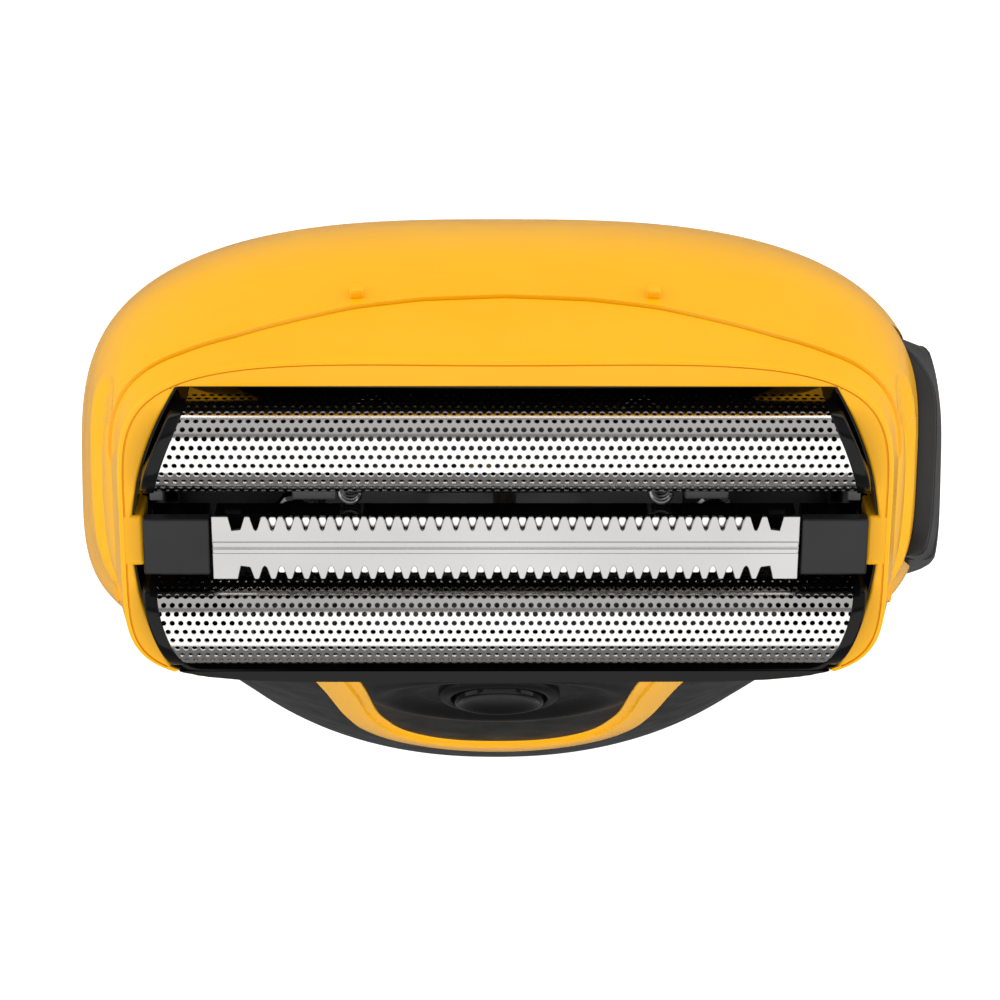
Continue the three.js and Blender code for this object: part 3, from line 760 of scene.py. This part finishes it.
def cassette_details():
    """Posts, clips, springs and the slotted bar between the back foil and the trimmer."""
    posts = [box_points((side * x - 1.3, 2.0, -6.5), (side * x + 1.3, 2.75, top))
             for side, x, top in ((-1, 11.3, -2.3), (1, 11.9, -2.4))]
    points, faces = join(posts)
    bevel(piece("cassette_posts", from_head(points), faces, "grey plastic", "foil_head"), 0.12)
    clips = []
    for side in (-1, 1):
        clips.append(box_points((side * 20.6 - 0.4, 2.0, -5), (side * 20.6 + 0.4, 2.9, -2.2)))
        clips.append(box_points((side * 16.2 - 0.5, 2.1, -6), (side * 16.2 + 0.5, 2.7, -3.4)))
    points, faces = join(clips)
    bevel(piece("cassette_clips", from_head(points), faces, "grey plastic", "foil_head"), 0.08)
    bars = [box_points((-5.3, 2.2, -3.6), (4.9, 2.7, -2.9)), box_points((-5.3, 2.2, -5.4), (4.9, 2.7, -4.4))]
    bars += [box_points((x - 0.3, 2.2, -5.0), (x + 0.3, 2.68, -3.0)) for x in (-5, -2.4, 0, 2.4, 4.6)]
    points, faces = join(bars)
    bevel(piece("cassette_slotted_bar", from_head(points), faces, "gloss black plastic", "foil_head"), 0.08)
    points, faces = join([coil(x, 2.35, -6.5, -2.4, 0.62, 0.13, 9) for x in (-9.2, 9.2)])
    piece("cassette_coil_springs", from_head(points), faces, "dark steel", "foil_head")


# ---- Shells ----------------------------------------------------------------

def shell_rings(first, last, v_top, v_bottom, columns, rows, thickness, corner):
    """Outer and inner grids of a shell between two angle limits and two row limits."""
    share = np.concatenate([[0, 0.0015, 0.004], np.linspace(0.01, 0.99, rows - 6),
                            [0.996, 0.9985, 1]])[:, None]
    across = np.concatenate([[0, 0.0012, 0.0035, 0.007], np.linspace(0.012, 0.988, columns - 8),
                             [0.993, 0.9965, 0.9988, 1]])[None, :]
    v = 5.0 + 7.0 * share + 0.0 * across
    for _ in range(7):
        angles = first(v) * (1 - across) + last(v) * across
        v = v_top(angles) * (1 - share) + v_bottom(angles) * share
    outer, normal = skin(angles, v), skin_normal(angles, v)
    to_top = np.cumsum(np.linalg.norm(np.diff(outer, axis=0, prepend=outer[:1]), axis=2), axis=0)
    to_side = np.cumsum(np.linalg.norm(np.diff(outer, axis=1, prepend=outer[:, :1]), axis=2), axis=1)
    near = np.minimum(np.minimum(to_top, to_top[-1:] - to_top),
                      np.minimum(to_side, to_side[:, -1:] - to_side))
    short = np.clip(corner - near, 0, corner)
    drop = corner - np.sqrt(np.maximum(corner**2 - short**2, 0))
    return outer - normal * drop[..., None], skin(angles, v, thickness)


def closed_shell(outer, inner):
    """Points and faces of a shell from its outer and inner grids."""
    rows, columns = outer.shape[:2]
    grid = np.concatenate([outer.reshape(-1, 3), inner.reshape(-1, 3)])
    half = rows * columns
    faces = []
    for i in range(rows - 1):
        for j in range(columns - 1):
            a, b = i * columns + j, i * columns + j + 1
            c, d = (i + 1) * columns + j + 1, (i + 1) * columns + j
            faces += [(a, b, c, d), (d + half, c + half, b + half, a + half)]
    loop = ([j for j in range(columns)] + [i * columns + columns - 1 for i in range(1, rows)]
            + [(rows - 1) * columns + j for j in range(columns - 2, -1, -1)]
            + [i * columns for i in range(rows - 2, 0, -1)])
    for a, b in zip(loop, loop[1:] + loop[:1]):
        faces.append((a, b, b + half, a + half))
    return grid, faces


def arm_top(y):
    """Height of the top of the side trimmer's hood, which rises towards the back."""
    return HOOD_LOW + HOOD_RISE * smoothstep(-6, 7, y)


def arm_outline(grow):
    """The side trimmer's pocket in the side view, as y and z."""
    low, half = ARM_PIVOT[1] - 2.9 - grow, ARM_HALF + grow
    ys = np.linspace(half, -half, 24)
    top = [(y, float(arm_top(y)) + grow) for y in ys]
    return [(-half, low), (half, low)] + top


def scoop(outer):
    """Sinks finger scoops round the release buttons, with a crisp outer edge."""
    local = to_head(outer)
    away = np.sqrt(((local[..., 1] + 0.3) / 8.2)**2 + ((local[..., 2] + 8.0) / 4.3)**2)
    away = np.where(np.abs(local[..., 0]) > 15, away, 2.0)
    drop = 0.5 * (1 - smoothstep(0.86, 0.98, away))
    sunk = outer.copy()
    sunk[..., 0] -= np.sign(outer[..., 0]) * drop
    return sunk


def rear_shell():
    outer, inner = shell_rings(
        lambda v: split_angle(v, 0.1), lambda v: math.pi - split_angle(v, 0.1),
        lambda angle: seam_row(angle, -SEAM_GAP), lambda angle: height_row(angle, CAP_HEIGHT + 0.2),
        210, 110, WALL, 0.16)
    points, faces = closed_shell(scoop(outer), inner)
    made = piece("rear_shell_moulding", points, faces, "yellow gloss plastic", "handle",
                 ["rear_shell"])
    outline = [(0, y, z) for y, z in arm_outline(0.25)]
    return cut(made, *prism(outline, 20.5, 34, SIDE))


def locating_nubs():
    """Two small nubs under the seam at the back."""
    parts = []
    for x in (-NUB_X, NUB_X):
        angle, v = np.array(1.5708 - x / 24.0), np.array(2.6)
        for _ in range(60):
            h = to_head(skin(angle, v))
            angle = angle + (h[0] - x) * 0.03
            v = v + (h[2] + 9.6) * 0.15
        centre, out = skin(angle, v), skin_normal(angle, v)
        down = unit(skin(angle, v + 0.01) - centre)
        across = np.cross(down, out)
        corners = [centre + across * i * 0.42 + down * j * 0.62
                   for i, j in ((-1, -1), (1, -1), (1, 1), (-1, 1))]
        parts.append(prism(corners, -0.5, 0.42, out))
    points, faces = join(parts)
    made = piece("rear_shell_nubs", points, faces, "yellow gloss plastic", "handle")
    return bevel(made, 0.16, 3)


def u_outline(half, grow, top):
    """The U-shaped outline on the front as x and z, rounded by a smooth curve."""
    knots = np.array(half, float)
    length = np.concatenate([[0], np.cumsum(np.linalg.norm(np.diff(knots, axis=0), axis=1))])
    fine = np.linspace(0, length[-1], 60)
    slopes = np.gradient(knots, length, axis=0)
    slopes[0] = (1, 0)
    index = np.clip(np.searchsorted(length, fine, side="right") - 1, 0, len(knots) - 2)
    span = (length[index + 1] - length[index])[:, None]
    t = ((fine - length[index]))[:, None] / span
    curve = ((2 * t**3 - 3 * t**2 + 1) * knots[index] + (t**3 - 2 * t**2 + t) * span * slopes[index]
             + (3 * t**2 - 2 * t**3) * knots[index + 1] + (t**3 - t**2) * span * slopes[index + 1])
    tangent = unit(np.gradient(curve, axis=0))
    outward = np.stack([tangent[:, 1], -tangent[:, 0]], -1)
    curve = curve + grow * outward
    curve[-1, 1] = top
    mirrored = curve[:0:-1] * np.array([-1, 1])
    return np.concatenate([mirrored, curve])


def front_shell():
    outer, inner = shell_rings(
        lambda v: -math.pi - split_angle(v, -0.05), lambda v: split_angle(v, -0.05),
        lambda angle: np.maximum(seam_row(angle, -0.16), front_top_row(angle)),
        lambda angle: height_row(angle, CAP_HEIGHT + 0.2), 150, 90, WALL, 0.22)
    points, faces = closed_shell(outer, inner)
    made = piece("front_shell_moulding", points, faces, "soft black plastic", "handle",
                 ["front_shell"])
    outline = [(x, 0, z) for x, z in u_outline(BAND_OUTER, 0.04, 91.1)]
    return cut(made, *prism(outline, -30, -8, (0, 1, 0)))


def front_top_row(angle):
    """Row position where the skin meets the shelf under the cassette's front wall."""
    return halve(np.zeros_like(angle), np.full_like(angle, 5.0),
                 lambda v: to_head(skin(angle, v))[..., 2] > SHELF)


def trim_band():
    """The glossy U-shaped band let into the front."""
    outer = u_outline(BAND_OUTER, 0.0, 91.0)
    inner = u_outline(BAND_INNER, 0.0, 91.0)
    step = inner + unit(outer - inner) * 0.85
    rings = []
    for o, s, i in zip(outer, step, inner):
        x, z = np.array([o[0], s[0], i[0]]), np.array([o[1], s[1], i[1]])
        p, n = front_point(x, z), front_normal(x, z)
        inward = unit(p[2] - p[0])
        ring = [p[0] - n[0] * 1.2]
        ring += fillet(p[0] + n[0] * 0.06, -n[0], inward, 0.18)
        ring += [p[1] - inward * 0.3 + n[1] * 0.08, p[1] - inward * 0.05 + n[1] * 0.06]
        ring += [p[1] + inward * 0.05 - n[1] * 0.2, p[1] + inward * 0.3 - n[1] * 0.26]
        ring += fillet(p[2] - n[2] * 0.3, -inward, -n[2], 0.12)
        ring += [p[2] - n[2] * 1.2]
        rings.append(np.array(ring))
    points, faces = loft(rings)
    return piece("trim_band_moulding", points, faces, "yellow gloss plastic", "handle",
                 ["trim_band"])


def control_pad():
    """The rubber pad with its oval dished surround for the power button."""
    boundary = u_outline(BAND_INNER, -0.06, 90.7)
    centre = np.array([0.0, BUTTON_Z])
    top = np.linspace(boundary[-1], boundary[0], 50)[1:-1]
    boundary = np.concatenate([boundary, top])
    shares = np.concatenate([np.linspace(0, 1, 90)[1:-1], [0.993, 0.998, 1.0]])
    start = 4.35
    rings = []
    direction = boundary - centre
    reach = np.linalg.norm(direction, axis=1, keepdims=True)
    direction = direction / reach
    for share in np.concatenate([[0.0], shares]):
        flat = centre + direction * (start + (reach - start) * share)
        x, z = flat[:, 0], flat[:, 1]
        oval = np.sqrt((x / 7.9)**2 + ((z - BUTTON_Z) / 5.2)**2)
        sink = 0.5 * (1 - smoothstep(0.8, 1.08, oval))
        ridge = 0.16 * np.exp(-((oval - 1.12) / 0.1)**2) + 0.12 * np.exp(-((oval - 0.74) / 0.07)**2)
        edge = 0.25 * (1 - min(1.0, (1 - share) / 0.01))
        drop = 0.3 + sink - ridge + edge
        p, n = front_point(x, z), front_normal(x, z)
        rings.append(p - n * drop[:, None])
    rings.insert(0, rings[0] + np.array([0, 1.0, 0]))
    rings.append(rings[-1] + np.array([0, 1.0, 0]))
    points, faces = loft(rings, caps=False, path_closed=True)
    return piece("control_pad_rubber", points, faces, "pad black rubber", "handle",
                 ["control_pad"])


def button_frame():
    """Origin, up-slope and outward directions of the power button."""
    slope = math.radians(BUTTON_SLOPE)
    out = np.array([0.0, -math.cos(slope), math.sin(slope)])
    up = np.array([0.0, math.sin(slope), math.cos(slope)])
    return np.array([0.0, BUTTON_Y, BUTTON_Z]), up, out


def turned(profile, sides=96):
    """A solid turned about the button's axis, from radius and height pairs."""
    origin, up, out = button_frame()
    rings = []
    for radius, height in profile:
        turn = np.linspace(0, 2 * math.pi, sides, endpoint=False)
        ring = (origin + radius * np.cos(turn)[:, None] * SIDE
                + radius * np.sin(turn)[:, None] * up + height * out)
        rings.append(ring)
    return rings


def power_button():
    profile = [(0.05, -0.42), (0.8, -0.4), (1.6, -0.32), (2.2, -0.18), (2.6, 0.02), (2.85, 0.16), (3.0, 0.19),
               (3.12, 0.14), (3.2, 0.02), (3.2, -1.0), (2.6, -1.2), (2.6, -1.6), (0.05, -1.6)]
    points, faces = loft(turned(profile))
    return piece("power_button_dish", points, faces, "gloss black plastic", "power_button",
                 ["power_button"])


def button_ring():
    profile = [(3.42, -1.2), (3.42, -0.35), (3.5, -0.2), (3.7, -0.12), (4.0, -0.16), (4.25, -0.3),
               (4.35, -0.5), (4.35, -1.2)]
    points, faces = loft(turned(profile), path_closed=True)
    return piece("button_ring_moulding", points, faces, "pad black rubber", "handle",
                 ["button_ring"])


def base_cap():
    """The cap that closes the base, with a rounded foot and sockets for screws and plug."""
    angles = np.linspace(0, 2 * math.pi, 200, endpoint=False)
    top = height_row(angles, CAP_HEIGHT)
    rings = [skin(angles, top, 1.6), skin(angles, top, 0.15)]
    for share in np.linspace(0, 1, 12):
        v = top * (1 - share) + 12.0 * share
        rings.append(skin(angles, v))
    for turn in np.linspace(0, math.pi / 2, 8)[1:]:
        p = skin(angles, np.full_like(angles, 12.0), 1.0 - math.cos(turn))
        p[:, 2] = 1.2 * (1 - math.sin(turn))
        rings.append(p)
    points, faces = loft(rings)
    made = piece("base_cap_moulding", points, faces, "soft black plastic", "handle",
                 ["base_cap"])
    low, high = (p / MM for p in map(np.array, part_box("charging_socket")))
    grow = np.array([0.25, 0.25, 3])
    cut(made, *box_points(low - grow, high + grow))
    for side in (-SCREW_X, SCREW_X):
        for radius, depth in ((2.2, 2.4), (1.3, 12)):
            turn = np.linspace(0, 2 * math.pi, 40, endpoint=False)
            outline = [(side + radius * math.cos(t), radius * math.sin(t), 0) for t in turn]
            cut(made, *prism(outline, -1, depth, (0, 0, 1)))
    return made


# ---- Side trimmer and release buttons --------------------------------------

def side_arm():
    """The pop-out side trimmer's cover, standing proud of the right flank."""
    low, high = 58.0, ARM_TOP
    zs = np.concatenate([low + np.array([0, 0.1, 0.3]), np.linspace(low + 0.8, high - 0.6, 60),
                         high - np.array([0.3, 0.1, 0])])
    ys = np.concatenate([[-7, -6.97, -6.85], np.linspace(-6.6, 6.6, 30), [6.85, 6.97, 7]])
    y, z = np.meshgrid(ys, zs)
    near = np.minimum(ARM_HALF - np.abs(y), np.minimum(z - low, high - z))
    short = np.clip(0.5 - near, 0, 0.5)
    outer = flank(y, z, -1.3)
    outer[..., 0] -= 0.5 - np.sqrt(np.maximum(0.25 - short**2, 0))
    points, faces = closed_shell(outer, flank(y, z, 0.85))
    piece("side_trimmer_arm_cover", points, faces, "satin black plastic", "side_arm",
          ["side_trimmer_arm"])
    arm_hood()
    toothed_strip("side_trimmer_comb_strip", "ground steel", "side_arm", "side_trimmer_comb", 0.95, 1.2, 0.0)
    toothed_strip("side_trimmer_blade_strip", "dark steel", "side_blade", "side_trimmer_blade",
                  1.85, 2.1, -0.5)


def toothed_strip(name, look, body, node, outer, inner, lift):
    """A toothed steel strip on the inside of the arm, curved like the flank."""
    ys, tops = [], []
    for centre in np.linspace(-5.6, 5.6, 12):
        for shift, top in ((-0.34, 99.6), (-0.2, 101.6), (0.2, 101.6), (0.34, 99.6)):
            ys.append(centre + shift)
            tops.append(top + lift)
    ys, tops = np.array(ys), np.array(tops)
    base = np.full(ys.shape, 94.0)
    edges = [flank(ys, z, inset) for z, inset in ((base, outer), (tops, outer), (tops, inner), (base, inner))]
    points, faces = loft(list(np.stack(edges, 1)))
    return piece(name, points, faces, look, body, [node])


def arm_hood():
    """The cover's top, which wraps over the side trimmer's teeth."""
    up = np.array([0.0, 0.0, 1.0])
    rings = []
    for y in np.concatenate([[-7, -6.97, -6.85], np.linspace(-6.6, 6.6, 30), [6.85, 6.97, 7]]):
        short = max(0.0, 0.5 - (ARM_HALF - abs(y)))
        edge = 0.5 - math.sqrt(max(0.25 - short**2, 0))
        slope = HOOD_SLOPE * (max(0.0, y - 2.5) / 4.5)**2
        low = flank(np.array(y), np.array(ARM_TOP), 0.0)
        high = flank(np.array(y), np.array(arm_top(y)), 0.0)
        outer = high + SIDE * (1.25 - edge - slope)
        inner = high - SIDE * (0.05 + 1.1 * slope)
        ring = [low + SIDE * 0.4, low + SIDE * (1.3 - edge)]
        ring += fillet(outer, -up, -SIDE, 0.35, 6)
        ring += fillet(inner, SIDE, -up, 0.12, 3)
        ring += [inner - up * 0.4, outer - SIDE * 0.85 - up * 0.42]
        rings.append(ring)
    points, faces = loft(rings)
    piece("side_trimmer_arm_hood", points, faces, "satin black plastic", "side_arm")


def flank(y, z, inset):
    """Points of the right flank at given y and z."""
    low, high = np.full(y.shape, -1.2), np.full(y.shape, 1.2)
    for _ in range(18):
        angle = (low + high) / 2
        below = skin(angle, height_row(angle, z), inset)[..., 1] < y
        low, high = np.where(below, angle, low), np.where(below, high, angle)
    x = skin(angle, height_row(angle, z), inset)[..., 0]
    return np.stack([x, y, z], -1)


def release_button(name, side, body):
    """An oval release button in its finger scoop, crowned along its middle."""
    turn = np.linspace(0, 2 * math.pi, 96, endpoint=False)
    rings = []
    for share, drop in [(0.02, 0.16), (0.3, 0.17), (0.55, 0.2), (0.75, 0.26), (0.9, 0.34), (0.96, 0.4),
                        (0.985, 0.48), (1.0, 0.62), (1.0, 0.95)]:
        a = RELEASE_CENTRE[0] + RELEASE_REACH[0] * share * np.cos(turn)
        b = RELEASE_CENTRE[1] + RELEASE_REACH[1] * share * np.sin(turn)
        rings.append(cheek(a, b, side, drop))
    points, faces = loft(rings)
    return piece(name + "_moulding", points, faces, "yellow gloss plastic", body,
                 [name])


def cheek(a, b, side, drop):
    """Points of the head's side at given back and up positions, moved in by drop."""
    angle, v = np.zeros_like(a), np.full(a.shape, 2.0)
    for _ in range(60):
        h = to_head(skin(angle, v))
        angle = np.clip(angle + (a - h[..., 1]) * 0.03, -1.0, 1.0)
        v = np.clip(v - (b - h[..., 2]) * 0.2, 0, 5)
    x = skin(angle, v)[..., 0]
    return from_head(np.stack([side * (x - drop), a, b], -1))


# ---- CAD nodes that stay ---------------------------------------------------

STAYING = {
    "foil_cassette": "gloss black plastic",
    "trimmer_carrier": "gloss black plastic",
    "top_deck": "satin black plastic",
    "drive_bridge": "grey plastic",
    "motor_can": "dark steel",
    "motor_bracket": "grey plastic",
    "motor_shaft": "brass",
    "battery_cell": "cell wrap",
    "battery_tab_bottom": "ground steel",
    "battery_tab_top": "ground steel",
    "circuit_board": "board green",
    "switch_body": "grey plastic",
    "battery_cradle": "grey plastic",
    "base_screw_left": "ground steel",
    "base_screw_right": "ground steel",
    "charging_socket": "gloss black plastic",
    "charging_pin_1": "brass",
    "charging_pin_2": "brass",
    "side_trimmer_pin": "ground steel",
    "back_cutter_spring_left": "ground steel",
    "back_cutter_spring_right": "ground steel",
    "front_cutter_spring_left": "ground steel",
    "front_cutter_spring_right": "ground steel",
    "trimmer_spring_left": "dark steel",
    "trimmer_spring_right": "dark steel",
}


def dress_cad_nodes():
    for name, look in STAYING.items():
        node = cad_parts[name]
        node.data.materials.clear()
        node.data.materials.append(MATERIALS[look])
        smooth(node.data, 30)


# ---- Stage, lights and camera ----------------------------------------------

def make_floor():
    points = [(-3000, -3000, 0), (3000, -3000, 0), (3000, 3000, 0), (-3000, 3000, 0)]
    mesh = build_mesh("floor", points, [(0, 1, 2, 3)])
    floor = bpy.data.objects.new("floor", mesh)
    bpy.context.collection.objects.link(floor)
    tree, shader = new_material("floor white")
    cloud = noise(tree, 3, 2.0)
    tree.links.new(ramp(tree, cloud, 0.9, 0.93), shader.inputs["Base Color"])
    shader.inputs["Roughness"].default_value = 0.9
    shader.inputs["Emission Color"].default_value = (1, 1, 1, 1)
    shader.inputs["Emission Strength"].default_value = 0.35
    mesh.materials.append(MATERIALS["floor white"])
    floor.visible_glossy = False


def area_light(name, place, target, size, power):
    data = bpy.data.lights.new(name, "AREA")
    data.shape = "RECTANGLE"
    data.size, data.size_y = size
    data.energy = power
    light = bpy.data.objects.new(name, data)
    light.location = place
    aim = Vector(target) - Vector(place)
    light.rotation_mode = "QUATERNION"
    light.rotation_quaternion = aim.to_track_quat("-Z", "Y")
    bpy.context.collection.objects.link(light)


def angled_light(name, lean, distance, size, radiance):
    """A softbox above the head, leaning back (+) or forward (-) from the vertical."""
    turn = math.radians(lean)
    place = (0, FACE_Y * MM + distance * math.sin(turn), FACE_HEIGHT * MM + distance * math.cos(turn))
    power = radiance * math.pi * size[0] * size[1]
    area_light(name, place, (0, FACE_Y * MM, FACE_HEIGHT * MM), size, power)


def make_lights():
    world = bpy.data.worlds.new("studio")
    world.use_nodes = True
    world.node_tree.nodes["Background"].inputs["Color"].default_value = (1, 1, 1, 1)
    world.node_tree.nodes["Background"].inputs["Strength"].default_value = 0.22
    bpy.context.scene.world = world
    angled_light("front softbox", -36, 0.6, (1.3, 0.86), 1.5)
    angled_light("top fill", 36, 0.6, (1.3, 0.5), 0.42)
    angled_light("back strip", 78, 0.6, (1.3, 0.22), 2.6)
    for side in (-1, 1):
        area_light("side softbox", (side * 0.6, 0.08, 0.24), (0, 0, 0.09), (0.9, 0.45), math.pi * 0.4 * 1.8)


def make_camera():
    distance, pitch, focal = 180.0, math.radians(5.0), 3.07
    aim = Vector((0.0101, math.sin(pitch), -math.cos(pitch))).normalized()
    place = Vector((-2.158, FACE_Y - 12.94, FACE_HEIGHT + distance - 0.45))
    data = bpy.data.cameras.new("camera")
    data.sensor_width = 36
    data.lens = 36 * focal
    data.clip_start, data.clip_end = 0.01, 20
    camera = bpy.data.objects.new("camera", data)
    camera.location = place * MM
    up = Vector((0, math.cos(pitch), math.sin(pitch)))
    right = aim.cross(up).normalized()
    up = right.cross(aim)
    camera.matrix_world = Matrix((
        (right.x, up.x, -aim.x, place.x * MM), (right.y, up.y, -aim.y, place.y * MM),
        (right.z, up.z, -aim.z, place.z * MM), (0, 0, 0, 1)))
    bpy.context.collection.objects.link(camera)
    bpy.context.scene.camera = camera
    bpy.context.scene.view_settings.view_transform = "Standard"


# ---- Assembly --------------------------------------------------------------

make_materials()
make_camera()
make_floor()
make_lights()
dress_cad_nodes()

head_frame()
foil_cassette()
cassette_liner()
cassette_details()
for side_sign in (-1, 1):
    side_name = "left" if side_sign < 0 else "right"
    key_tab(side_sign)
    end_block("trimmer_end_block_" + side_name, side_sign)
    release_button("release_button_" + side_name, side_sign, "release_" + side_name)
for foil_name, foil_place in (("back", FOIL_OFFSET), ("front", -FOIL_OFFSET)):
    foil(foil_name + "_foil", foil_place)
    cutter(foil_name + "_cutter", foil_place)
    foil_cap(foil_name + "_foil_cap_left", foil_place, -1, foil_name + "_foil")
    foil_cap(foil_name + "_foil_cap_right", foil_place, 1, foil_name + "_foil")
trimmer_comb()
trimmer_blade()
rear_shell()
locating_nubs()
front_shell()
trim_band()
control_pad()
power_button()
button_ring()
base_cap()
side_arm()
